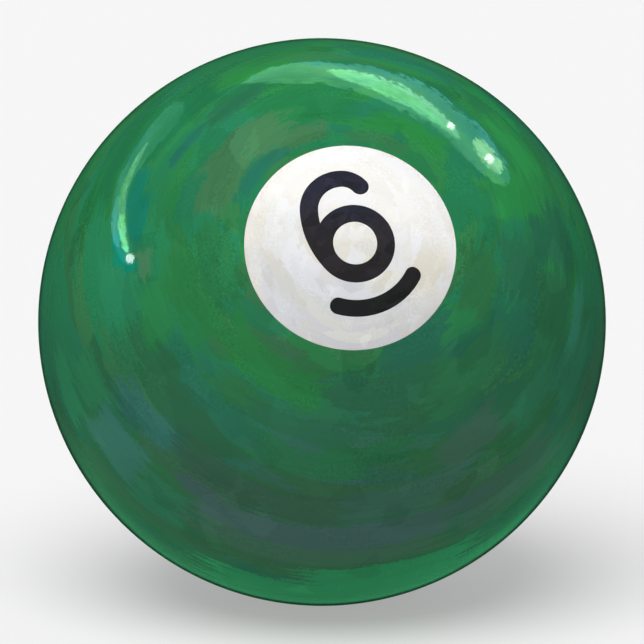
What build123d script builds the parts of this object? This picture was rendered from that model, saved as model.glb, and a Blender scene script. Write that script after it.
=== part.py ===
"""Numbered pool ball, made of cast resin pieces: a coloured ball, and on each of two opposite
sides a white number disc with a black numeral 6 and a black underline let into its face.

Frame: the origin is the centre of the ball and +Z is up. The front number looks towards -Y and is
tilted up, the back number is straight opposite. Lengths are in millimetres, angles in degrees.
"""

from build123d import *
from math import atan2, cos, degrees, hypot, radians, sin
import os

# Ball
BALL_DIAMETER = 57.15  # 2 1/4 inches, the American pool size
NUMBER_TILT = 25.0  # how far the front number's axis points above the horizontal

# White number disc: a round plug with a flat floor, poured into a pocket in the ball
DISC_DIAMETER = 20.0
POCKET_DEPTH = 7.5  # on the number axis, from the ball's surface to the pocket's floor
POCKET_CORNER = 1.5  # radius between the pocket's wall and its floor

# Numeral and underline, poured into grooves cut in the disc. Places are in the numeral's own
# upright frame, whose centre is on the number axis.
GROOVE_DEPTH = 3.0  # on the number axis, from the ball's surface to the groove's floor
NUMERAL_TURN = 21.8  # anticlockwise turn of the numeral in its disc
NUMERAL_STROKE = 1.70
BOWL_CENTRE = (0.19, -0.20)
BOWL_RADIUS = 2.92  # of the stroke's centre line, like every radius below
SHOULDER_CENTRE = (0.54, 3.23)
SHOULDER_RADIUS = 3.20
STEM_RADIUS = 7.90
HOOK_RADIUS = 2.20
HOOK_FROM, HOOK_TO = 17.0, 68.0  # directions of the hook's end, and of its join to the shoulder
UNDERLINE_STROKE = 1.52
UNDERLINE_RADIUS = 6.15
UNDERLINE_SPAN = 78.0

BALL_RADIUS = BALL_DIAMETER / 2
PARTS_FOLDER = "parts"


def ball_blank():
    """The finished ball's outer shape, with the sphere's poles turned away from the numbers."""
    return Rot(X=90) * Sphere(BALL_RADIUS)


def polar(centre, radius, direction):
    """The point at a distance and direction from a centre."""
    angle = radians(direction)
    return (centre[0] + radius * cos(angle), centre[1] + radius * sin(angle))


def direction_between(start, end):
    """The direction from one point to another, from 0 to 360 degrees."""
    return degrees(atan2(end[1] - start[1], end[0] - start[0])) % 360


def arc_stroke(centre, radius, start, end, stroke):
    """A round-ended stroke along an arc that runs anticlockwise from start to end."""
    return SlotArc(CenterArc(centre, radius, start, end - start), stroke)


def stem_centre():
    """The centre of the stem's arc, which holds both the shoulder and the bowl and touches them."""
    to_shoulder = STEM_RADIUS - SHOULDER_RADIUS
    to_bowl = STEM_RADIUS - BOWL_RADIUS
    apart = hypot(SHOULDER_CENTRE[0] - BOWL_CENTRE[0], SHOULDER_CENTRE[1] - BOWL_CENTRE[1])
    along = (to_bowl**2 - to_shoulder**2 + apart**2) / (2 * apart)
    across = (to_bowl**2 - along**2) ** 0.5
    up = direction_between(BOWL_CENTRE, SHOULDER_CENTRE)
    return polar(polar(BOWL_CENTRE, along, up), across, up - 90)


def numeral_outline():
    """The figure six: a hook, a shoulder and a stem that touch one another, and a round bowl."""
    hook_centre = polar(SHOULDER_CENTRE, SHOULDER_RADIUS - HOOK_RADIUS, HOOK_TO)
    stem = stem_centre()
    stem_from = direction_between(stem, SHOULDER_CENTRE)
    stem_to = direction_between(stem, BOWL_CENTRE)
    outline = arc_stroke(hook_centre, HOOK_RADIUS, HOOK_FROM, HOOK_TO, NUMERAL_STROKE)
    outline += arc_stroke(SHOULDER_CENTRE, SHOULDER_RADIUS, HOOK_TO, stem_from, NUMERAL_STROKE)
    outline += arc_stroke(stem, STEM_RADIUS, stem_from, stem_to, NUMERAL_STROKE)
    outline += Pos(*BOWL_CENTRE) * Circle(BOWL_RADIUS + NUMERAL_STROKE / 2)
    outline -= Pos(*BOWL_CENTRE) * Circle(BOWL_RADIUS - NUMERAL_STROKE / 2)
    return Rot(Z=NUMERAL_TURN) * outline


def underline_outline():
    """The bar under the six, curved round its bowl."""
    down = 270
    start, end = down - UNDERLINE_SPAN / 2, down + UNDERLINE_SPAN / 2
    outline = arc_stroke(BOWL_CENTRE, UNDERLINE_RADIUS, start, end, UNDERLINE_STROKE)
    return Rot(Z=NUMERAL_TURN) * outline


def let_in(outline, depth):
    """A solid of this outline along +Z, from a floor at this depth up to the ball's surface."""
    floor = BALL_RADIUS - depth
    return extrude(Pos(0, 0, floor) * outline, depth) & ball_blank()


def pocket_filling():
    """What fills the round pocket in the ball, up to the ball's surface."""
    floor = Pos(0, 0, BALL_RADIUS - POCKET_DEPTH) * Circle(DISC_DIAMETER / 2)
    plug = extrude(floor, POCKET_DEPTH)
    plug = fillet(plug.edges().group_by(Axis.Z)[0], POCKET_CORNER)
    return plug & ball_blank()


def number_side(facing):
    """The frame of one number: +Z out of the ball through it and +Y its upward direction."""
    across, tilt = 1 if facing == "front" else -1, radians(NUMBER_TILT)
    return Plane((0, 0, 0), x_dir=(across, 0, 0), z_dir=(0, -across * cos(tilt), across * sin(tilt)))


def ball_parts():
    """Every piece in place, by name."""
    filling = pocket_filling()
    numeral = let_in(numeral_outline(), GROOVE_DEPTH)
    underline = let_in(underline_outline(), GROOVE_DEPTH)
    disc = filling - numeral - underline
    body = number_side("front").location * ball_blank()
    parts = {}
    for facing in ("front", "back"):
        place = number_side(facing).location
        body -= place * filling
        parts[f"number_disc_{facing}"] = place * disc
        parts[f"numeral_{facing}"] = place * numeral
        parts[f"underline_{facing}"] = place * underline
    parts["ball_body"] = body
    return parts


os.makedirs(PARTS_FOLDER, exist_ok=True)
for name, part in ball_parts().items():
    export_step(part, os.path.join(PARTS_FOLDER, f"{name}.step"))
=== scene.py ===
"""Looks for the numbered pool ball: fine meshes, swirled resin materials, floor, light and camera.

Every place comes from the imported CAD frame. Meshes are worked out in the number's own frame, in
millimetres: +X is its right, +Y its upward direction and +Z points out of the ball through it.
"""

from math import asin, ceil, cos, pi, radians, sin, sqrt

import bmesh
import bpy
import numpy as np
from mathutils import Matrix, Vector
from mathutils.geometry import delaunay_2d_cdt


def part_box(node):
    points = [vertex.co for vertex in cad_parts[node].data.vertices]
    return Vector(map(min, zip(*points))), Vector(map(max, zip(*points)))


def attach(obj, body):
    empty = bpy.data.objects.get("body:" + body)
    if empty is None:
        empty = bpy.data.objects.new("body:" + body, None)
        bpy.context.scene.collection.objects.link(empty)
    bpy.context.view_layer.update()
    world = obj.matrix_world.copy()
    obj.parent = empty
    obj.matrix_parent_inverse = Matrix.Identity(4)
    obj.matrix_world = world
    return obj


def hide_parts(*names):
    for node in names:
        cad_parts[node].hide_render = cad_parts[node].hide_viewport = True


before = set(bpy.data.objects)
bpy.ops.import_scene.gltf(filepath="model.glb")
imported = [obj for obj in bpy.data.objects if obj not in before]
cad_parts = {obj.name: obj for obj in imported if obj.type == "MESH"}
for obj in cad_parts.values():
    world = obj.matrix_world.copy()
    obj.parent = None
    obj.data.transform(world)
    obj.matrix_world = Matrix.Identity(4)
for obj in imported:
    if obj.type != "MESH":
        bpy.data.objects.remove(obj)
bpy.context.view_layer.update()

MM = 0.001
SIDES = ("front", "back")

# ---------------------------------------------------------------- sizes, read from the CAD frame


def cad_points(node):
    """The vertices of a CAD node, in millimetres, as rows."""
    return np.array([v.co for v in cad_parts[node].data.vertices]) / MM


def box_mm(node):
    """A CAD node's lowest and highest corners, in millimetres."""
    low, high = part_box(node)
    return low / MM, high / MM


BALL_RADIUS = float(np.linalg.norm(cad_points("ball_body"), axis=1).max())
DISC_LOW, DISC_HIGH = box_mm("number_disc_front")
DISC_RADIUS = (DISC_HIGH.x - DISC_LOW.x) / 2
NUMBER_TILT = asin(DISC_HIGH.z / BALL_RADIUS) - asin(DISC_RADIUS / BALL_RADIUS)


def number_frame(side):
    """The rotation from one number's own frame to the ball's."""
    across = 1 if side == "front" else -1
    right = Vector((across, 0, 0))
    outward = Vector((0, -across * cos(NUMBER_TILT), across * sin(NUMBER_TILT)))
    return Matrix((right, outward.cross(right), outward)).transposed()


def local_points(node, side):
    """A CAD node's vertices in the frame of its number."""
    return cad_points(node) @ np.array(number_frame(side))


def floor_of(node, side):
    """The height above the ball's centre of the flat floor of a plug."""
    return float(local_points(node, side)[:, 2].min())


PLUG_POINTS = local_points("number_disc_front", "front")
POCKET_FLOOR = float(PLUG_POINTS[:, 2].min())
ON_FLOOR = PLUG_POINTS[:, 2] < POCKET_FLOOR + MM
FLOOR_FLAT = float(np.hypot(PLUG_POINTS[ON_FLOOR, 0], PLUG_POINTS[ON_FLOOR, 1]).max())
POCKET_CORNER = DISC_RADIUS - FLOOR_FLAT

# ---------------------------------------------------------------- outlines, in the number's frame

AROUND = 288  # segments round the ball's and the disc's own axis
EDGE_BREAK = 0.025  # how far polishing has rounded the edges where two resins meet
EDGE_STEPS = ((1.0, 0.0), (0.3, 0.3), (0.0, 1.0))  # inset and depth of its rings, in edge breaks
OUTLINE_STEP = 0.12  # between points along the black pieces' outlines
GRID_STEP = 0.36  # between points inside a polished face
SMOOTH_EDGE = radians(30)  # edges that turn less than this are shaded smooth
CORNER_ANGLE = radians(35)  # an outline that turns more than this between two points has a corner
SKIN = 0.002  # how near the ball's surface a vertex counts as lying on it


def outlines_on_ball(node, side):
    """The closed outlines of a CAD node's polished face, longest first, as rows of x and y."""
    bm = bmesh.new()
    bm.from_mesh(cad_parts[node].data)
    bmesh.ops.remove_doubles(bm, verts=bm.verts, dist=1e-6)
    surface = (BALL_RADIUS - SKIN) * MM
    polished = {f for f in bm.faces if all(v.co.length > surface for v in f.verts)}
    next_to = {}
    for edge in bm.edges:
        if sum(face in polished for face in edge.link_faces) == 1:
            for a, b in (edge.verts, reversed(edge.verts)):
                next_to.setdefault(a, []).append(b)
    to_local = number_frame(side).transposed()
    loops = []
    while next_to:
        loop = [next(iter(next_to))]
        while loop[-1] in next_to:
            onward = [v for v in next_to.pop(loop[-1]) if v in next_to]
            loop += onward[:1]
        loops.append(np.array([(to_local @ (v.co / MM)).xy for v in loop]))
    bm.free()
    return sorted(loops, key=outline_length, reverse=True)


def outline_length(points):
    """The length of a closed outline."""
    return float(np.linalg.norm(np.roll(points, -1, axis=0) - points, axis=1).sum())


def signed_area(points):
    """The area of a closed outline, positive when it runs anticlockwise."""
    x, y = points.T
    return float((x * np.roll(y, -1) - np.roll(x, -1) * y).sum() / 2)


def unit(rows):
    """Each row scaled to length one."""
    return rows / np.linalg.norm(rows, axis=-1, keepdims=True)


def tangents(points):
    """Directions along a closed outline at its points, exact where three points lie on an arc."""
    before = points - np.roll(points, 1, axis=0)
    after = np.roll(points, -1, axis=0) - points
    long_before = np.linalg.norm(before, axis=1, keepdims=True)
    long_after = np.linalg.norm(after, axis=1, keepdims=True)
    return unit(before / long_before * long_after + after / long_after * long_before)


def smooth_outline(points):
    """An anticlockwise closed outline resampled finely, rounded between its points, corners kept."""
    if signed_area(points) < 0:
        points = points[::-1]
    ahead = np.roll(points, -1, axis=0) - points
    heading = unit(ahead)
    turn = np.arccos(np.clip((heading * np.roll(heading, 1, axis=0)).sum(axis=1), -1, 1))
    corner = turn > CORNER_ANGLE
    along = tangents(points)
    fine = []
    for i in range(len(points)):
        j = (i + 1) % len(points)
        chord = ahead[i]
        start, end = along[i], along[j]
        if corner[i]:
            start = 2 * (end @ heading[i]) * heading[i] - end
        if corner[j]:
            end = 2 * (start @ heading[i]) * heading[i] - start
        span = np.linalg.norm(chord)
        count = max(1, ceil(span / OUTLINE_STEP))
        for t in np.arange(count) / count:
            a, b = 3 * t**2 - 2 * t**3, t - 2 * t**2 + t**3
            fine.append(points[i] + a * chord + span * (b * start + (t**3 - t**2) * end))
    return np.array(fine)


def moved_in(points, distance):
    """An anticlockwise outline moved inwards by a distance, or outwards if it is negative."""
    along = tangents(points)
    return points + distance * np.column_stack((-along[:, 1], along[:, 0]))


def circle(radius):
    """A round outline with a point on every segment."""
    angles = np.arange(AROUND) * 2 * pi / AROUND
    return radius * np.column_stack((np.cos(angles), np.sin(angles)))


def inside(points, loops):
    """Which points lie inside the region that these outlines bound, holes left out."""
    result = np.zeros(len(points), bool)
    for loop in loops:
        for (ax, ay), (bx, by) in zip(loop, np.roll(loop, -1, axis=0)):
            if ay == by:
                continue
            crosses = (points[:, 1] < ay) != (points[:, 1] < by)
            at = ax + (points[:, 1] - ay) / (by - ay) * (bx - ax)
            result ^= crosses & (points[:, 0] < at)
    return result


def filled(loops):
    """Points and triangles that fill the region between these outlines, outline points first."""
    reach = np.abs(loops[0]).max() + GRID_STEP
    rows = np.arange(-reach, reach, GRID_STEP * sqrt(3) / 2)
    columns = np.arange(-reach, reach, GRID_STEP)
    grid = np.array([(x + (k % 2) * GRID_STEP / 2, y) for k, y in enumerate(rows) for x in columns])
    grid = grid[inside(grid, loops)]
    border = np.concatenate(loops)
    gap = np.array([np.hypot(*(border - point).T).min() for point in grid])
    grid = grid[gap > GRID_STEP * 0.55]
    edges, first = [], 0
    for loop in loops:
        edges += [(first + i, first + (i + 1) % len(loop)) for i in range(len(loop))]
        first += len(loop)
    points = np.concatenate((border, grid))
    result = delaunay_2d_cdt([Vector(p) for p in points], edges, [], 0, 1e-7)
    triangles = np.array(result[2])
    centres = points[triangles].mean(axis=1)
    return points, triangles[inside(centres, loops)]


# ---------------------------------------------------------------- solids


class Solid:
    """Collects one closed mesh in a number's own frame, then places it in the ball."""

    def __init__(self):
        self.points, self.faces, self.polished = [], [], []

    def add(self, rows):
        """Adds points and returns their numbers."""
        first = len(self.points)
        self.points += [tuple(row) for row in rows]
        return np.arange(first, first + len(rows))

    def fill(self, numbers, triangles, up, polished=False):
        """Adds triangles among these points, facing outwards along +Z if up is true."""
        for a, b, c in numbers[triangles]:
            if polished:
                self.polished.append(len(self.faces))
            self.faces.append((a, b, c) if up else (c, b, a))

    def bridge(self, lower, upper, polished=False):
        """Joins two rings of as many points, seen anticlockwise from the side that faces out."""
        for i in range(len(lower)):
            j = (i + 1) % len(lower)
            if polished:
                self.polished.append(len(self.faces))
            self.faces.append((lower[i], lower[j], upper[j], upper[i]))

    def fan(self, ring, centre, up):
        """Closes a ring to a point in its middle."""
        for i in range(len(ring)):
            a, b = ring[i], ring[(i + 1) % len(ring)]
            self.faces.append((a, b, centre) if up else (b, a, centre))

    def place(self, name, side, node, material, slot):
        """Makes the mesh object, which rides on the ball and stands for a CAD node."""
        mesh = bpy.data.meshes.new(name)
        turn = number_frame(side)
        mesh.from_pydata([turn @ Vector(p) * MM for p in self.points], [], self.faces)
        mesh.update()
        bm = bmesh.new()
        bm.from_mesh(mesh)
        for face in bm.faces:
            face.smooth = True
        for edge in bm.edges:
            edge.smooth = edge.calc_face_angle(pi) < SMOOTH_EDGE
        bm.to_mesh(mesh)
        bm.free()
        normals = np.zeros((len(mesh.loops), 3))
        for index in self.polished:
            for loop in mesh.polygons[index].loop_indices:
                normals[loop] = mesh.vertices[mesh.loops[loop].vertex_index].co.normalized()
        mesh.normals_split_custom_set(normals)
        mesh.materials.append(material)
        piece = bpy.data.objects.new(name, mesh)
        bpy.context.scene.collection.objects.link(piece)
        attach(piece, "root")
        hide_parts(node)


def on_ball(points):
    """The points of the ball's surface above these places, as rows of x, y and z."""
    return np.column_stack((points, np.sqrt(BALL_RADIUS**2 - (points**2).sum(axis=1))))


def at_height(points, height):
    """These places lifted to one height."""
    return np.column_stack((points, np.full(len(points), height)))


def edge_rings(outline, inward):
    """The rings that round a polished edge, from the face to the wall; inward is 1 or -1."""
    rings = []
    for inset, depth in EDGE_STEPS:
        rows = on_ball(moved_in(outline, inward * inset * EDGE_BREAK))
        rows[:, 2] -= depth * EDGE_BREAK
        rings.append(rows)
    return rings


def letter_solid(outlines, floor):
    """A black piece: a face on the ball's surface, walls down to a flat floor."""
    solid = Solid()
    rings = [edge_rings(loop, 1 if k == 0 else -1) for k, loop in enumerate(outlines)]
    points, triangles = filled([ring[0][:, :2] for ring in rings])
    top = solid.add(on_ball(points))
    base = solid.add(at_height(points, floor))
    solid.fill(top, triangles, up=True, polished=True)
    solid.fill(base, triangles, up=False)
    first = 0
    for k, (outline, ring) in enumerate(zip(outlines, rings)):
        span = slice(first, first + len(outline))
        chain = [top[span]] + [solid.add(rows) for rows in ring[1:]]
        chain += [solid.add(at_height(outline, floor)), base[span]]
        for upper, lower in zip(chain, chain[1:]):
            if k == 0:
                solid.bridge(lower, upper)
            else:
                solid.bridge(upper, lower)
        first += len(outline)
    return solid


def pocket_profile():
    """Radius and height of the rings of the pocket's wall, from the rim down to the floor."""
    rim = sqrt(BALL_RADIUS**2 - DISC_RADIUS**2) - EDGE_BREAK
    rings = [(DISC_RADIUS, rim + (POCKET_FLOOR + POCKET_CORNER - rim) * k / 4) for k in range(1, 4)]
    for k in range(9):
        angle = k / 8 * pi / 2
        inset, drop = POCKET_CORNER * (1 - cos(angle)), POCKET_CORNER * (1 - sin(angle))
        rings.append((DISC_RADIUS - inset, POCKET_FLOOR + drop))
    rings += [(FLOOR_FLAT * share, POCKET_FLOOR) for share in (0.75, 0.5, 0.25)]
    return rings


def disc_solid(grooves):
    """A white plug: its face has grooves for the black pieces, each with outlines and a floor."""
    solid = Solid()
    rim = circle(DISC_RADIUS)
    rim_rings = edge_rings(rim, 1)
    groove_rings = []
    for outlines, floor in grooves:
        groove_rings += [edge_rings(loop, -1 if k == 0 else 1) for k, loop in enumerate(outlines)]
    points, triangles = filled([ring[0][:, :2] for ring in [rim_rings] + groove_rings])
    top = solid.add(on_ball(points))
    solid.fill(top, triangles, up=True, polished=True)
    chain = [top[: len(rim)]] + [solid.add(rows) for rows in rim_rings[1:]]
    chain += [solid.add(at_height(circle(r), h)) for r, h in pocket_profile()]
    for upper, lower in zip(chain, chain[1:]):
        solid.bridge(lower, upper)
    solid.fan(chain[-1], solid.add([(0, 0, POCKET_FLOOR)])[0], up=False)
    first = len(rim)
    rings = iter(groove_rings)
    for outlines, floor in grooves:
        insets = [moved_in(loop, EDGE_BREAK if k == 0 else -EDGE_BREAK) for k, loop in enumerate(outlines)]
        points, triangles = filled(insets)
        base = solid.add(at_height(points, floor))
        solid.fill(base, triangles, up=True)
        begin = 0
        for k, outline in enumerate(outlines):
            ring = next(rings)
            chain = [top[first : first + len(outline)]] + [solid.add(rows) for rows in ring[1:]]
            chain += [solid.add(at_height(outline, floor)), base[begin : begin + len(outline)]]
            for upper, lower in zip(chain, chain[1:]):
                if k == 0:
                    solid.bridge(upper, lower)
                else:
                    solid.bridge(lower, upper)
            first += len(outline)
            begin += len(outline)
    return solid


def body_solid():
    """The ball with its two pockets, turned round the number axis from floor to floor."""
    solid = Solid()
    opening = asin(DISC_RADIUS / BALL_RADIUS)
    steps = round((pi - 2 * opening) / (2 * pi) * AROUND)
    half = []
    for inset, depth in EDGE_STEPS:
        radius = DISC_RADIUS + inset * EDGE_BREAK
        half.append((radius, sqrt(BALL_RADIUS**2 - radius**2) - depth * EDGE_BREAK))
    half += pocket_profile()
    start = asin(half[0][0] / BALL_RADIUS)
    belt = []
    for k in range(1, steps):
        angle = start + (pi - 2 * start) * k / steps
        belt.append((BALL_RADIUS * sin(angle), BALL_RADIUS * cos(angle)))
    profile = half[::-1] + belt + [(r, -h) for r, h in half]
    rings = [solid.add(at_height(circle(r), h)) for r, h in profile]
    on_surface = range(len(half) - 1, len(half) + len(belt))
    for k, (upper, lower) in enumerate(zip(rings, rings[1:])):
        solid.bridge(lower, upper, polished=k in on_surface)
    solid.fan(rings[0], solid.add([(0, 0, POCKET_FLOOR)])[0], up=True)
    solid.fan(rings[-1], solid.add([(0, 0, -POCKET_FLOOR)])[0], up=False)
    return solid


# ---------------------------------------------------------------- materials


def paint(red, green, blue):
    """A colour given as display values from 0 to 255, as the linear colour that Blender works in."""
    shares = (red / 255, green / 255, blue / 255)
    return tuple(((share + 0.055) / 1.055) ** 2.4 for share in shares) + (1.0,)


class Graph:
    """Short calls for building one material's nodes."""

    def __init__(self, tree):
        self.tree = tree
        self.tree.nodes.clear()

    def node(self, kind, inputs=(), **settings):
        """A node with these settings, its inputs linked or set by place or by name."""
        made = self.tree.nodes.new("ShaderNode" + kind)
        for name, value in settings.items():
            setattr(made, name, value)
        items = inputs.items() if isinstance(inputs, dict) else enumerate(inputs)
        for key, value in items:
            if isinstance(value, bpy.types.NodeSocket):
                self.tree.links.new(value, made.inputs[key])
            elif value is not None:
                made.inputs[key].default_value = value
        return made

    def math(self, operation, *values):
        """One step of arithmetic."""
        return self.node("Math", values, operation=operation).outputs[0]

    def vector(self, operation, *values):
        """One step of vector arithmetic."""
        made = self.node("VectorMath", values, operation=operation)
        return made.outputs["Value" if operation in ("DOT_PRODUCT", "LENGTH") else "Vector"]

    def scaled(self, vector, factor):
        """A vector times a number."""
        return self.node("VectorMath", {"Vector": vector, "Scale": factor}, operation="SCALE").outputs[0]

    def combine(self, x, y, z):
        """A vector from three numbers."""
        return self.node("CombineXYZ", (x, y, z)).outputs[0]

    def rise(self, value, start, end):
        """A smooth rise from 0 to 1 as the value goes from start to end; a fall if end is lower."""
        inputs = {"Value": value, "From Min": min(start, end), "From Max": max(start, end)}
        inputs |= {"To Min": float(start > end), "To Max": float(start < end)}
        return self.node("MapRange", inputs, interpolation_type="SMOOTHSTEP").outputs[0]

    def span(self, value, start, end, low, high):
        """The value carried from one range to another, held at its ends."""
        return self.node("MapRange", (value, start, end, low, high)).outputs[0]

    def mix(self, share, first, second):
        """Two colours mixed."""
        made = self.node("Mix", data_type="RGBA")
        for index, value in ((0, share), (6, first), (7, second)):
            if isinstance(value, bpy.types.NodeSocket):
                self.tree.links.new(value, made.inputs[index])
            else:
                made.inputs[index].default_value = value
        return made.outputs[2]

    def noise(self, vector, scale=1.0, detail=2.0, roughness=0.5):
        """Smooth noise, a number from 0 to 1."""
        inputs = {"Vector": vector, "Scale": scale, "Detail": detail, "Roughness": roughness}
        return self.node("TexNoise", inputs).outputs["Fac"]

    def parts(self, vector):
        """The three numbers in a vector."""
        made = self.node("SeparateXYZ", (vector,))
        return made.outputs[0], made.outputs[1], made.outputs[2]

    def tilted(self, vector, angle):
        """A vector turned about the X axis."""
        inputs = {"Vector": vector, "Angle": angle}
        return self.node("VectorRotate", inputs, rotation_type="X_AXIS").outputs[0]

    def cells(self, vector, smoothness):
        """Three random numbers that are even within each cell and soft at its edge."""
        made = self.node("TexVoronoi", {"Vector": vector, "Scale": 1.0}, feature="SMOOTH_F1")
        made.inputs["Smoothness"].default_value = smoothness
        parts = self.node("SeparateColor", (made.outputs["Color"],))
        return parts.outputs[0], parts.outputs[1], parts.outputs[2]

    def palette(self, value, colours):
        """A run of colours, evenly spread over values from 0 to 1."""
        made = self.node("ValToRGB", (value,))
        ramp = made.color_ramp
        ramp.interpolation = "EASE"
        while len(ramp.elements) < len(colours):
            ramp.elements.new(0.5)
        for index, colour in enumerate(colours):
            ramp.elements[index].position = (index + 0.5) / len(colours)
            ramp.elements[index].color = colour
        return made.outputs[0]


def new_material(name):
    """A material and the graph that builds it."""
    material = bpy.data.materials.new(name)
    material.use_nodes = True
    return material, Graph(material.node_tree)


SWIRL_OFFSET = radians(6)  # the swirl's middle lies this far below each number's
WANDER = 4.0  # how far the arcs wander off their rings, in degrees over the noise's whole range
FRAYED_SIDE = (6.0, 5.0)  # how far grain and bristles move an arc's sides, likewise
FRAYED_END = (14.0, 30.0)  # and its ends
FULL_FRAY = (4, 15)  # arcs of a smaller half width or half length than these fray in proportion


class NumberCoordinates:
    """Places on the ball as shader values, in the frame of the nearer number, on a ball of radius 1.

    They are the polar angle from the number, the direction around it, the same two for the swirl, and
    the noises that all strokes share: bristle and streak run in lines along the swirl, grain is fine
    dots, and wander changes slowly over the ball.
    """

    def __init__(self, g):
        self.place = g.scaled(g.node("TexCoord").outputs["Object"], 1 / (BALL_RADIUS * MM))
        self.local = g.vector("NORMALIZE", g.tilted(self.place, NUMBER_TILT - pi / 2))
        right, self.up, out = g.parts(self.local)
        self.right = g.math("MULTIPLY", right, g.math("SIGN", out))
        self.polar = g.math("ARCCOSINE", g.math("ABSOLUTE", out))
        self.around = g.vector("NORMALIZE", g.combine(self.right, self.up, 0.0))
        x, y, z = g.parts(g.tilted(self.local, SWIRL_OFFSET))
        self.swirl = (g.math("ARCCOSINE", z), g.vector("NORMALIZE", g.combine(x, y, 0.0)))
        self.bristle = self.stroke_noise(g, 6.0, 50.0, 2.5)
        self.streak = self.stroke_noise(g, 2.5, 90.0, 3.0)
        self.grain = g.math("SUBTRACT", g.noise(self.place, 120.0, 3.0, 0.7), 0.5)
        self.wander = g.math("SUBTRACT", g.noise(self.local, 3.0, 2.0), 0.5)
        self.ring = g.math("MULTIPLY_ADD", self.wander, WANDER, g.math("DEGREES", self.polar))
        self.frayed_side = self.frayed(g, *FRAYED_SIDE)
        self.frayed_end = self.frayed(g, *FRAYED_END)

    def frayed(self, g, by_grain, by_bristle):
        """How far an arc's edge is moved here, in degrees."""
        return g.math("MULTIPLY_ADD", self.grain, by_grain, g.math("MULTIPLY", self.bristle, by_bristle))

    def stroke_noise(self, g, along, across, detail):
        """Fine lines that run round the swirl, from -0.5 to 0.5."""
        polar, around = self.swirl
        rings = g.combine(0.0, 0.0, g.math("MULTIPLY", polar, across))
        space = g.vector("ADD", g.scaled(around, along), rings)
        return g.math("SUBTRACT", g.noise(space, 1.0, detail, 0.6), 0.5)

    def towards(self, g, polar, clock):
        """How directly a place faces this direction of its own number's frame, 1 if straight on."""
        polar, clock = radians(polar), radians(clock)
        both = []
        for side in (1, -1):
            aim = (side * sin(polar) * cos(clock), sin(polar) * sin(clock), side * cos(polar))
            both.append(g.vector("DOT_PRODUCT", self.local, aim))
        return g.math("MAXIMUM", *both)

    def arc(self, g, polar, half_width, clock, half_length):
        """Where a broad brushed arc lies round each number: 1 inside, 0 outside. All in degrees."""
        aim = (cos(radians(clock)), sin(radians(clock)), 0.0)
        turned = g.math("DEGREES", g.math("ARCCOSINE", g.vector("DOT_PRODUCT", self.around, aim)))
        turned = g.math("MULTIPLY_ADD", self.frayed_end, min(1.0, half_length / FULL_FRAY[1]), turned)
        off = g.math("ABSOLUTE", g.math("SUBTRACT", self.ring, polar))
        off = g.math("MULTIPLY_ADD", self.frayed_side, min(1.0, half_width / FULL_FRAY[0]), off)
        soft = min(2.5, half_length / 4)
        ends = g.rise(turned, half_length + soft, half_length - soft)
        return g.math("MULTIPLY", ends, g.rise(off, half_width + 0.5, half_width - 0.5))


def stroke_space(g, at, rings, length, width, seed, ragged=0.3, sway=0.5):
    """Coordinates in which unit cells are long strokes round these rings, with frayed ends."""
    polar, around = rings
    wander = g.math("SUBTRACT", g.noise(g.vector("ADD", at.local, (seed, 0.0, 0.0)), 2.2, 1.0), 0.5)
    ring = g.math("MULTIPLY_ADD", wander, sway * 4, g.math("DIVIDE", polar, width))
    fray = g.math("MULTIPLY", at.bristle, ragged * 4)
    ring = g.math("MULTIPLY_ADD", fray, 0.25, ring)
    jitter = g.combine(fray, fray, g.math("MULTIPLY_ADD", at.grain, 0.15, ring))
    turn = g.vector("ADD", g.scaled(around, 1 / length), (seed * 3.7, 0.0, 0.0))
    return g.vector("ADD", turn, jitter)


def dab_space(g, at, scale):
    """Coordinates in which unit cells are short blocky dabs with rough edges."""
    rough = g.math("MULTIPLY_ADD", at.bristle, 0.5, g.math("MULTIPLY", at.grain, 0.35))
    return g.vector("ADD", g.vector("MULTIPLY", at.local, scale), g.combine(rough, at.wander, rough))


# Greens: lighter ones for the ball's top as painted light, middle ones, and slate ones for painted shade;
# each run goes from blue green to yellow green, so that two tones mixed give the one between.
TOP_LIT_GREENS = ((38, 120, 86), (40, 126, 81), (42, 121, 74), (44, 128, 68), (54, 124, 76))
MIDDLE = ((47, 104, 88), (49, 109, 82), (51, 104, 75), (53, 110, 72), (61, 104, 78))
SHADE_GREENS = ((62, 102, 96), (60, 104, 88), (58, 104, 80), (62, 106, 76), (68, 98, 76))

ARC_COVER = 0.85  # how fully the arcs hide the strokes under them

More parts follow.
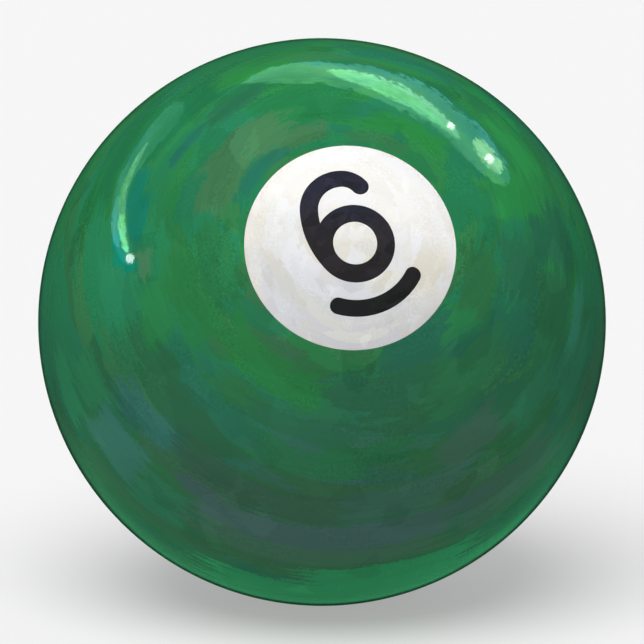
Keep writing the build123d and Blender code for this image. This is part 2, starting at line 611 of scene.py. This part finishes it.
# Broad arcs round each number: polar angle and half width, clock angle and half length, colour.
ARCS = (
    # right of the number and above it
    (26, 4, -14, 15, (47, 107, 66)),
    (36, 5, -4, 11, (44, 107, 76)),
    (46, 6.5, 8, 9, (42, 104, 77)),
    (39, 6, 21, 8, (44, 136, 68)),
    (48.5, 4.5, 36, 10, (46, 142, 73)),
    (56.5, 3, 46, 9, (38, 148, 79)),
    (62, 4, 38, 13, (42, 120, 88)),
    (54.5, 4, 73, 14, (39, 123, 93)),
    (28.5, 2.5, 62, 15, (41, 129, 61)),
    (22.5, 1.6, 74, 15, (54, 116, 74)),
    (33, 6, 103, 17, (37, 120, 69)),
    (43, 3, 112, 16, (37, 113, 69)),
    (49, 2.2, 110, 10, (42, 132, 60)),
    (51, 5, 135, 15, (31, 112, 71)),
    (60, 4.5, 146, 18, (34, 116, 68)),
    (25, 2.2, 112, 14, (68, 117, 75)),
    (41, 2.5, 122, 9, (42, 108, 77)),
    (29.5, 4.4, 138, 25, (68, 118, 79)),
    (34, 2.2, 158, 8, (38, 120, 84)),
    (23.3, 1.3, 135, 16, (40, 112, 92)),
    (41.3, 1.1, 141, 7, (38, 108, 92)),
    (47.8, 2.3, 156, 6, (20, 117, 98)),
    (45.3, 2.6, 165, 7, (20, 119, 98)),
    # left of it
    (26, 4, -176, 18, (42, 114, 67)),
    (34, 4, -166, 18, (43, 122, 68)),
    (42, 3.5, -165, 8, (44, 127, 72)),
    (49, 4.5, -176, 9, (44, 132, 92)),
    (42, 1.8, 179, 4, (74, 130, 92)),
    # painted highlight: teal that carries the short glint's glow on below its lower end
    (49.2, 1.3, 171, 2.5, (5, 132, 112)),
    (47.5, 1.8, 175, 2.5, (5, 136, 112)),
    (45.4, 1.6, 178.5, 2, (5, 136, 112)),
    (51, 3, -158, 6, (47, 112, 75)),
    (55.5, 3.4, -144, 10, (56, 111, 106)),
    (64, 4.5, -160, 6, (50, 127, 85)),
    (67.5, 5.5, -146, 8, (65, 120, 112)),
    (74, 3.5, -163, 7, (51, 134, 92)),
    (70, 5.5, -131, 6, (54, 120, 92)),
    # below it
    (29, 3.6, -128, 24, (44, 124, 66)),
    (36, 2.6, -128, 10, (48, 112, 68)),
    (37, 2.5, -108, 17, (46, 103, 76)),
    (42, 1.6, -135, 10, (46, 113, 90)),
    (41, 2.6, -86, 13, (43, 108, 69)),
    (43.5, 3, -102, 17, (46, 114, 75)),
    (34.5, 4, -46, 18, (50, 118, 77)),
    (46, 4, -56, 10, (72, 106, 92)),
    (46, 5, -12, 9, (45, 104, 70)),
    (51, 3.5, -36, 9, (51, 121, 88)),
    (57.5, 4.5, -22, 10, (53, 122, 91)),
    (55, 1.9, -11, 8, (56, 132, 106)),
    # painted shade: these slate, violet and brown arcs carry the colours of shade on the ball's lower side
    (54.5, 3.6, -113, 22, (61, 94, 77)),
    (53, 3.2, -75, 17, (66, 105, 93)),
    (57, 3.2, -60, 9, (66, 105, 80)),
    (64.5, 6, -50, 13, (71, 102, 88)),
    (62.5, 4, -97, 28, (78, 101, 106)),
    (60.2, 2.0, -68, 12, (72, 99, 97)),
    (60.5, 2.2, -123, 7, (70, 93, 94)),
    (68, 2.8, -98, 27, (74, 109, 92)),
    # painted light: bright greens for the bounce light along the ball's foot
    (87, 8, -90, 26, (53, 162, 102)),
    (78.5, 6, -81, 17, (54, 163, 104)),
    (83.5, 3.5, -58, 9, (46, 148, 92)),
)


# Length and width of the large strokes and of the small ones, as angles round the ball in radians.
GREEN_STROKES = ((0.8, 0.2), (0.5, 0.09))
WHITE_STROKES = ((0.9, 0.09), (0.55, 0.045))
BLACK_STROKES = ((0.5, 0.09), (0.3, 0.05))

# How many dabs lie side by side on one radius of the ball, along each axis of the number's frame.
GREEN_DABS = (10.0, 5.5, 10.0)
WHITE_DABS = (26.0, 19.0, 26.0)


def brushed(g, at, rings, large, small, seed):
    """Two layers of strokes, large under small: one number from 0 to 1, and how light each stroke is."""
    under, under_light, _ = g.cells(stroke_space(g, at, rings, *large, seed, 0.12), 0.2)
    over, over_light, pick = g.cells(stroke_space(g, at, rings, *small, seed + 6, 0.22), 0.08)
    pick = g.math("MULTIPLY_ADD", at.bristle, 0.4, g.math("MULTIPLY_ADD", at.grain, 0.3, pick))
    cover = g.rise(pick, 0.42, 0.54)
    choice = g.math("MULTIPLY_ADD", cover, g.math("SUBTRACT", over, under), under)
    light = g.math("MULTIPLY_ADD", cover, g.math("SUBTRACT", over_light, under_light), under_light)
    return choice, g.math("SUBTRACT", light, 0.5)


def green_resin():
    """Polished green resin, cast in swirls of many greens that run round the number axis, painted lighter
    towards the top, with painted shade below the number and a painted band of bounce light at its foot.
    """
    material, g = new_material("green_resin")
    at = NumberCoordinates(g)
    top_lit, middle, shade_greens = [[paint(*tone) for tone in tones] for tones in (TOP_LIT_GREENS, MIDDLE, SHADE_GREENS)]
    choice, light = brushed(g, at, at.swirl, *GREEN_STROKES, 1.3)
    height = g.parts(at.place)[2]
    # painted light: the greens turn lighter towards the top of the ball, as under light from above
    lit = g.rise(g.math("MULTIPLY_ADD", light, 0.35, height), -0.35, 0.45)
    # painted shade: slate greens on the ball's lower side, below the number
    painted_shade = g.rise(g.math("MULTIPLY_ADD", light, 0.10, at.towards(g, 64, -90)), 0.86, 0.96)
    colour = g.mix(lit, g.palette(choice, middle), g.palette(choice, top_lit))
    colour = g.mix(painted_shade, colour, g.palette(choice, shade_greens))
    for *where, tone in ARCS:
        cover = g.math("MULTIPLY", at.arc(g, *where), ARC_COVER)
        colour = g.mix(cover, colour, paint(*tone))
    patchy = g.rise(g.noise(stroke_space(g, at, at.swirl, 0.5, 0.12, 4.4), 1.0, 1.0), 0.48, 0.6)
    dab, dab_light, _ = g.cells(dab_space(g, at, GREEN_DABS), 0.08)
    dabs = g.rise(g.math("MULTIPLY_ADD", at.grain, 0.3, dab), 0.66, 0.72)
    shade = g.math("MULTIPLY_ADD", light, 0.20, 1.0)
    shade = g.math("MULTIPLY_ADD", g.math("MULTIPLY", dabs, g.math("SUBTRACT", dab_light, 0.5)), 0.32, shade)
    shade = g.math("MULTIPLY_ADD", at.streak, 0.16, shade)
    shade = g.math("ADD", shade, g.math("MULTIPLY", at.grain, patchy))
    polish(g, g.scaled(colour, shade), at)
    return material


def polish(g, colour, at, roughness=0.025):
    """The shader: a hard gloss over this colour, with faint hairlines and a little wear."""
    wear = g.noise(at.place, 9.0, 4.0, 0.6)
    rough = g.math("MULTIPLY_ADD", at.streak, 0.02, g.span(wear, 0.4, 0.75, roughness, roughness + 0.04))
    relief = g.math("MULTIPLY_ADD", at.grain, 0.1, at.streak)
    bump = g.node("Bump", {"Strength": 0.05, "Distance": 0.00002, "Height": relief}).outputs[0]
    inputs = {"Base Color": colour, "Roughness": rough, "IOR": 1.5, "Normal": bump}
    shader = g.node("BsdfPrincipled", inputs)
    g.node("OutputMaterial", {"Surface": shader.outputs[0]})


# Off-white tones at the top, middle and bottom of a disc, each from cream to cool; each row is darker than
# the one above, as painted shade.
WHITES = ((239, 237, 232), (240, 239, 238), (239, 239, 240))
CREAMS = ((222, 217, 204), (223, 221, 215), (226, 226, 227))
SHADED_GREYS = ((213, 212, 209), (213, 213, 213), (214, 214, 219))
STAIN = (222, 205, 194)  # specks just inside the rim
STAINED = (radians(18.5), radians(20.2))  # polar angles over which they set in

# Black tones from the bottom of a number to its top, and a brown one that some strokes take.
BLACKS = ((34, 33, 33), (42, 36, 38), (46, 41, 46), (46, 44, 59))
BROWN = (42, 37, 45)


def white_resin():
    """Polished off-white resin: white at the top, with cream and grey strokes further down, painted darker
    towards the bottom and a little towards the left as shade.
    """
    material, g = new_material("white_resin")
    at = NumberCoordinates(g)
    choice, light = brushed(g, at, (at.polar, at.around), *WHITE_STROKES, 2.1)
    # painted shade: the disc turns from white to cream and grey towards its bottom and a little towards its
    # left
    low = g.math("MULTIPLY_ADD", at.wander, 0.12, g.math("MULTIPLY_ADD", at.right, 0.3, at.up))
    whites, creams, shaded_greys = [[paint(*tone) for tone in tones] for tones in (WHITES, CREAMS, SHADED_GREYS)]
    colour = g.mix(g.rise(low, 0.14, -0.02), g.palette(choice, whites), g.palette(choice, creams))
    colour = g.mix(g.rise(low, -0.03, -0.19), colour, g.palette(choice, shaded_greys))
    speckle = g.math("MULTIPLY_ADD", at.bristle, 0.5, at.grain)
    stain = g.math("MULTIPLY", g.rise(speckle, 0.0, 0.12), g.rise(at.polar, *STAINED))
    colour = g.mix(g.math("MULTIPLY", stain, 0.5), colour, paint(*STAIN))
    patchy = g.rise(g.noise(at.local, 9.0, 2.0), 0.45, 0.6)
    dab, dab_light, _ = g.cells(dab_space(g, at, WHITE_DABS), 0.08)
    dabs = g.rise(g.math("MULTIPLY_ADD", at.grain, 0.5, dab), 0.66, 0.74)
    shade = g.math("MULTIPLY_ADD", light, 0.14, g.math("MULTIPLY", at.streak, 0.05))
    shade = g.math("MULTIPLY_ADD", g.math("MULTIPLY", dabs, g.math("SUBTRACT", dab_light, 0.4)), 0.16, shade)
    shade = g.math("MULTIPLY_ADD", shade, g.span(low, -0.1, 0.12, 1.0, 0.45), 1.0)
    shade = g.math("ADD", shade, g.math("MULTIPLY", at.grain, g.math("MULTIPLY", patchy, 0.35)))
    polish(g, g.scaled(colour, shade), at)
    return material


def black_resin():
    """Polished black resin, faintly indigo towards the top and brown towards the bottom."""
    material, g = new_material("black_resin")
    at = NumberCoordinates(g)
    height = g.math("MULTIPLY_ADD", at.wander, 0.25, at.up)
    colour = g.palette(g.span(height, -0.3, 0.2, 0.0, 1.0), [paint(*tone) for tone in BLACKS])
    choice, light = brushed(g, at, at.swirl, *BLACK_STROKES, 3.7)
    shade = g.math("MULTIPLY_ADD", light, 0.55, g.math("MULTIPLY_ADD", at.grain, 0.4, 0.96))
    colour = g.mix(g.math("MULTIPLY", g.rise(choice, 0.55, 0.75), 0.5), colour, paint(*BROWN))
    polish(g, g.scaled(colour, shade), at)
    return material


# ---------------------------------------------------------------- the ball

GREEN, WHITE, BLACK = green_resin(), white_resin(), black_resin()
body_solid().place("green_ball", "front", "ball_body", GREEN, "green_resin")
for side in SIDES:
    disc_node, six_node, line_node = f"number_disc_{side}", f"numeral_{side}", f"underline_{side}"
    six = ([smooth_outline(loop) for loop in outlines_on_ball(six_node, side)], floor_of(six_node, side))
    line = ([smooth_outline(loop) for loop in outlines_on_ball(line_node, side)], floor_of(line_node, side))
    disc_solid((six, line)).place(f"white_disc_{side}", side, disc_node, WHITE, "white_resin")
    letter_solid(*six).place(f"black_six_{side}", side, six_node, BLACK, "black_resin")
    letter_solid(*line).place(f"black_underline_{side}", side, line_node, BLACK, "black_resin")

# ---------------------------------------------------------------- floor, light and camera


def direction(azimuth, height):
    """The direction of a light or camera seen from the ball, azimuth 0 towards -Y."""
    return Vector((sin(azimuth) * cos(height), -cos(azimuth) * cos(height), sin(height)))


def aimed(name, data, azimuth, height, distance=0.0):
    """A light or camera that looks at the middle of the ball from this direction."""
    made = bpy.data.objects.new(name, data)
    towards = direction(azimuth, height)
    made.location = towards * distance * MM
    made.rotation_mode = "QUATERNION"
    made.rotation_quaternion = towards.to_track_quat("Z", "Y")
    bpy.context.scene.collection.objects.link(made)
    return made


LENS, SENSOR = 200.0, 36.0
CAMERA_AZIMUTH, CAMERA_HEIGHT, CAMERA_DISTANCE = radians(-6.32), radians(9.85), 361.2
camera = bpy.data.cameras.new("camera")
camera.lens = LENS
camera.sensor_width = SENSOR
CAMERA = aimed("camera", camera, CAMERA_AZIMUTH, CAMERA_HEIGHT, CAMERA_DISTANCE)
bpy.context.scene.camera = CAMERA
bpy.context.scene.view_settings.view_transform = "Standard"

# The key light is broad and high on the left; the sky fills the shadows evenly.
SUN_AZIMUTH, SUN_HEIGHT, SUN_SPREAD = radians(-20), radians(60), radians(50)
SUN_STRENGTH = 2.9
SKY = 0.3
FLOOR_COLOUR, FLOOR_BOUNCE = 0.84, 0.5
SHADOW_FILL = 0.4  # how much of the ball's shadow on the floor is lifted away
ROOM = (0.025, 0.115, 0.065, 1)  # the dim green room that the ball reflects
FLOOR_GREEN = (0.060, 0.40, 0.17, 1)  # brighter below, for the light band along the ball's foot
BACKDROP = (0.006, 0.045, 0.018, 1)  # and a dark card behind the ball, for the dark line round its edge
GREEN_BELOW = (-0.25, -0.50)  # the slopes over which the room turns to the brighter green
CARD = (radians(23), radians(15))  # how far off the line behind the ball the card fades out and is full
FLOOR_RADIUS = 3.0

key = bpy.data.lights.new("key", "SUN")
key.energy = SUN_STRENGTH
key.angle = SUN_SPREAD
aimed("key", key, SUN_AZIMUTH, SUN_HEIGHT).visible_glossy = False

FLOOR_GLOW = FLOOR_COLOUR * (SKY + SUN_STRENGTH * sin(SUN_HEIGHT) / pi)  # the floor's own brightness


def studio_world():
    """Even light all round; the camera sees the floor's colour go on, and reflections a dark room."""
    world = bpy.data.worlds.new("studio")
    bpy.context.scene.world = world
    world.use_nodes = True
    g = Graph(world.node_tree)
    path = g.node("LightPath")
    lighting = g.mix(path.outputs["Is Camera Ray"], (SKY, SKY, SKY, 1), (FLOOR_GLOW,) * 3 + (1,))
    heading = g.node("TexCoord").outputs["Generated"]
    slope = g.parts(heading)[2]
    room = g.mix(g.rise(slope, *GREEN_BELOW), ROOM, FLOOR_GREEN)
    behind = g.vector("DOT_PRODUCT", heading, -CAMERA.location.normalized())
    room = g.mix(g.rise(behind, cos(CARD[0]), cos(CARD[1])), room, BACKDROP)
    colour = g.mix(path.outputs["Is Glossy Ray"], lighting, room)
    shader = g.node("Background", {"Color": colour})
    g.node("OutputWorld", {"Surface": shader.outputs[0]})


def studio_floor():
    """A plain pale floor under the ball."""
    foot = (0, 0, -BALL_RADIUS * MM)
    bpy.ops.mesh.primitive_circle_add(vertices=96, radius=FLOOR_RADIUS, fill_type="NGON", location=foot)
    floor = bpy.context.object
    floor.name = "floor"
    material, g = new_material("floor")
    path = g.node("LightPath")
    seen, bounced = (FLOOR_COLOUR,) * 3 + (1,), (FLOOR_BOUNCE,) * 3 + (1,)
    colour = g.mix(path.outputs["Is Diffuse Ray"], seen, bounced)
    lit = g.node("BsdfDiffuse", {"Color": colour})
    even = g.node("Emission", {"Color": (FLOOR_GLOW,) * 3 + (1,)})
    share = g.math("MULTIPLY", path.outputs["Is Camera Ray"], SHADOW_FILL)
    shader = g.node("MixShader", (share, lit.outputs[0], even.outputs[0]))
    g.node("OutputMaterial", {"Surface": shader.outputs[0]})
    floor.data.materials.append(material)
    floor.visible_glossy = False


def seen_on_ball(clock, share):
    """The place on the ball that the camera sees at this clock direction and share of its radius."""
    eye = CAMERA.location / MM
    forward = -eye.normalized()
    right = forward.cross(Vector((0, 0, 1))).normalized()
    up = right.cross(forward)
    outline = BALL_RADIUS / sqrt(eye.length_squared - BALL_RADIUS**2)
    angle = radians(clock)
    ray = (forward + share * outline * (cos(angle) * right + sin(angle) * up)).normalized()
    half = eye.dot(ray)
    reach = -half - sqrt(half**2 - eye.length_squared + BALL_RADIUS**2)
    return eye + reach * ray, ray


def reflected(clock, share, distance):
    """The place a given distance from the ball whose reflection the camera sees just there."""
    place, ray = seen_on_ball(clock, share)
    normal = place.normalized()
    return place + (ray - 2 * ray.dot(normal) * normal) * distance


def blended(stops, t):
    """The value at t on straight lines between (t, value) stops."""
    for (t0, v0), (t1, v1) in zip(stops, stops[1:]):
        if t <= t1:
            return v0 + (v1 - v0) * (t - t0) / (t1 - t0)
    return stops[-1][1]


PANEL_STEPS, PANEL_ACROSS = 64, 8  # faces along a light panel and across it
TEAL, LEAF, DIM_LEAF = (0.30, 1.22, 1.38), (0.63, 2.12, 1.03), (0.45, 1.90, 1.20)
MINT, PALE_MINT, SOFT_MINT = (2.0, 6.5, 3.0), (2.4, 6.2, 4.0), (2.8, 6.1, 3.3)
SPARK = (12, 13, 12.5)
FAR, BEHIND, MID, NEAR = 300, 295, 290, 280  # the nearer panels are seen in front of the farther ones


def light_panel(name, path, distance, first, last, ragged, fade, inner=1.0):
    """A thin curved softbox, shaped so that its reflection on the ball follows this path of stops.

    Each stop is a clock direction in degrees, a share of the ball's radius and a half width as a
    share of it. The light goes along the path from the first colour to the last, sooner on its
    outer side, and from the first strength in fade to the last; inner is how strong its inner side
    is beside its outer one. Only reflections see the panel.
    """
    start, end = path[0][0], path[-1][0]
    centre = [((clock - start) / (end - start), share) for clock, share, half in path]
    width = [((clock - start) / (end - start), half) for clock, share, half in path]
    points, faces, marks = [], [], []
    for i in range(PANEL_STEPS + 1):
        t = i / PANEL_STEPS
        for j in range(PANEL_ACROSS + 1):
            v = j / PANEL_ACROSS
            share = blended(centre, t) + (2 * v - 1) * blended(width, t)
            points.append(reflected(start + (end - start) * t, share, distance) * MM)
            marks.append((t, v))
    row = PANEL_ACROSS + 1
    for i in range(PANEL_STEPS):
        for a in range(i * row, i * row + PANEL_ACROSS):
            faces.append((a, a + 1, a + row + 1, a + row))
    mesh = bpy.data.meshes.new(name)
    mesh.from_pydata(points, [], faces)
    layer = mesh.uv_layers.new(name="marks")
    for loop in mesh.loops:
        layer.data[loop.index].uv = marks[loop.vertex_index]
    panel = bpy.data.objects.new(name, mesh)
    bpy.context.scene.collection.objects.link(panel)
    panel.visible_camera = panel.visible_diffuse = panel.visible_shadow = False
    steps = range(len(path) - 1)
    length = sum(path[i][1] * abs(radians(path[i + 1][0] - path[i][0])) for i in steps)
    half = max(stop[2] for stop in path)
    mesh.materials.append(softbox(name, first, last, ragged, fade, inner, length / half))


def softbox(name, first, last, ragged, fade, inner, reach):
    """The panel's light, with brushed edges; reach is its length in half widths."""
    material, g = new_material(name)
    along, side, _ = g.parts(g.node("UVMap", uv_map="marks").outputs[0])
    across = g.math("MULTIPLY_ADD", side, 2.0, -1.0)
    to_end = g.math("MULTIPLY", g.math("MINIMUM", along, g.math("SUBTRACT", 1.0, along)), reach)
    past = g.math("MAXIMUM", g.math("SUBTRACT", 1.0, to_end), 0.0)
    off = g.vector("LENGTH", g.combine(across, past, 0.0))
    space = g.combine(g.math("MULTIPLY", along, reach * 1.1), g.math("MULTIPLY", across, 3.5), reach)
    bristles = g.math("SUBTRACT", g.noise(space, 1.0, 6.0, 0.75), 0.5)
    depth = g.math("MULTIPLY_ADD", bristles, ragged * 4, g.math("SUBTRACT", 1.0, off))
    cover = g.rise(depth, 0.06, 0.16)
    place = g.math("MULTIPLY_ADD", across, 0.55, g.math("MULTIPLY", along, 0.6))
    place = g.math("MULTIPLY_ADD", bristles, 1.2, place)
    tone = g.span(g.noise(g.scaled(space, 0.5), 1.0, 4.0, 0.6), 0.3, 0.7, 0.7, 1.25)
    strength = g.math("MULTIPLY", tone, g.span(along, 0.0, 1.0, *fade))
    strength = g.math("MULTIPLY", strength, g.span(across, -1.0, 1.0, inner, 1.0))
    colour = g.mix(g.rise(place, 0.35, 0.70), first + (1,), last + (1,))
    lamp = g.node("Emission", {"Color": colour, "Strength": strength})
    clear = g.node("BsdfTransparent")
    shader = g.node("MixShader", (cover, clear.outputs[0], lamp.outputs[0]))
    g.node("OutputMaterial", {"Surface": shader.outputs[0]})
    return material


def light_panels():
    """The long glint across the top right and the short one on the left."""
    glow = (
        (109, 0.886, 0.004), (102.8, 0.888, 0.027), (97.3, 0.884, 0.038), (92, 0.882, 0.043),
        (85.8, 0.872, 0.046), (79, 0.864, 0.055), (70.5, 0.856, 0.065), (63, 0.846, 0.065),
        (58, 0.835, 0.056), (52, 0.828, 0.063), (45, 0.819, 0.056), (39.5, 0.814, 0.042), (36, 0.812, 0.018),
    )
    light_panel("long_glow", glow, FAR, LEAF, TEAL, 0.40, (0.90, 1.20), inner=0.85)
    core = (
        (89.0, 0.885, 0.005), (84.6, 0.874, 0.020), (78.7, 0.865, 0.028), (71, 0.850, 0.034),
        (62, 0.832, 0.027), (53, 0.808, 0.010),
    )
    light_panel("long_core", core, MID, MINT, PALE_MINT, 0.8, (0.95, 0.90))
    end = ((50.3, 0.836, 0.022), (45, 0.826, 0.031), (39.6, 0.822, 0.024))
    light_panel("end_core", end, MID, SOFT_MINT, SOFT_MINT, 0.9, (1.05, 1.0))
    spark = ((57.8, 0.829, 0.012), (55.5, 0.826, 0.012))
    light_panel("spark_one", spark, NEAR, SPARK, SPARK, 0.8, (1.2, 0.8))
    spark = ((45.7, 0.826, 0.015), (42.8, 0.823, 0.015))
    light_panel("spark_two", spark, NEAR, SPARK, SPARK, 0.8, (1.1, 0.9))
    glow = (
        (122, 0.911, 0.020), (125.5, 0.901, 0.036), (130, 0.889, 0.037), (136.6, 0.873, 0.031),
        (145.2, 0.853, 0.024), (149, 0.828, 0.029), (153, 0.800, 0.036), (158, 0.764, 0.036),
        (164, 0.714, 0.018),
    )
    light_panel("short_glow", glow, FAR, DIM_LEAF, TEAL, 0.30, (0.30, 0.95), inner=0.8)
    tint = ((148, 0.842, 0.008), (151.5, 0.823, 0.016), (155.5, 0.800, 0.017), (160, 0.768, 0.010))
    light_panel("short_tint", tint, BEHIND, TEAL, TEAL, 0.9, (1.6, 2.4))
    core = (
        (134, 0.882, 0.004), (138.6, 0.867, 0.009), (143.7, 0.848, 0.012), (148.2, 0.826, 0.014),
        (152, 0.800, 0.016),
    )
    light_panel("short_core", core, MID, PALE_MINT, MINT, 2.2, (0.42, 0.50))
    core = ((151.3, 0.802, 0.012), (154.5, 0.781, 0.017), (157.5, 0.757, 0.015), (160.4, 0.731, 0.010))
    light_panel("short_end", core, MID, MINT, MINT, 1.3, (1.1, 1.8))
    spark = ((160.2, 0.714, 0.0155), (163.2, 0.712, 0.0155))
    light_panel("spark_three", spark, NEAR, SPARK, SPARK, 0.5, (1.0, 1.0))


studio_world()
studio_floor()
light_panels()
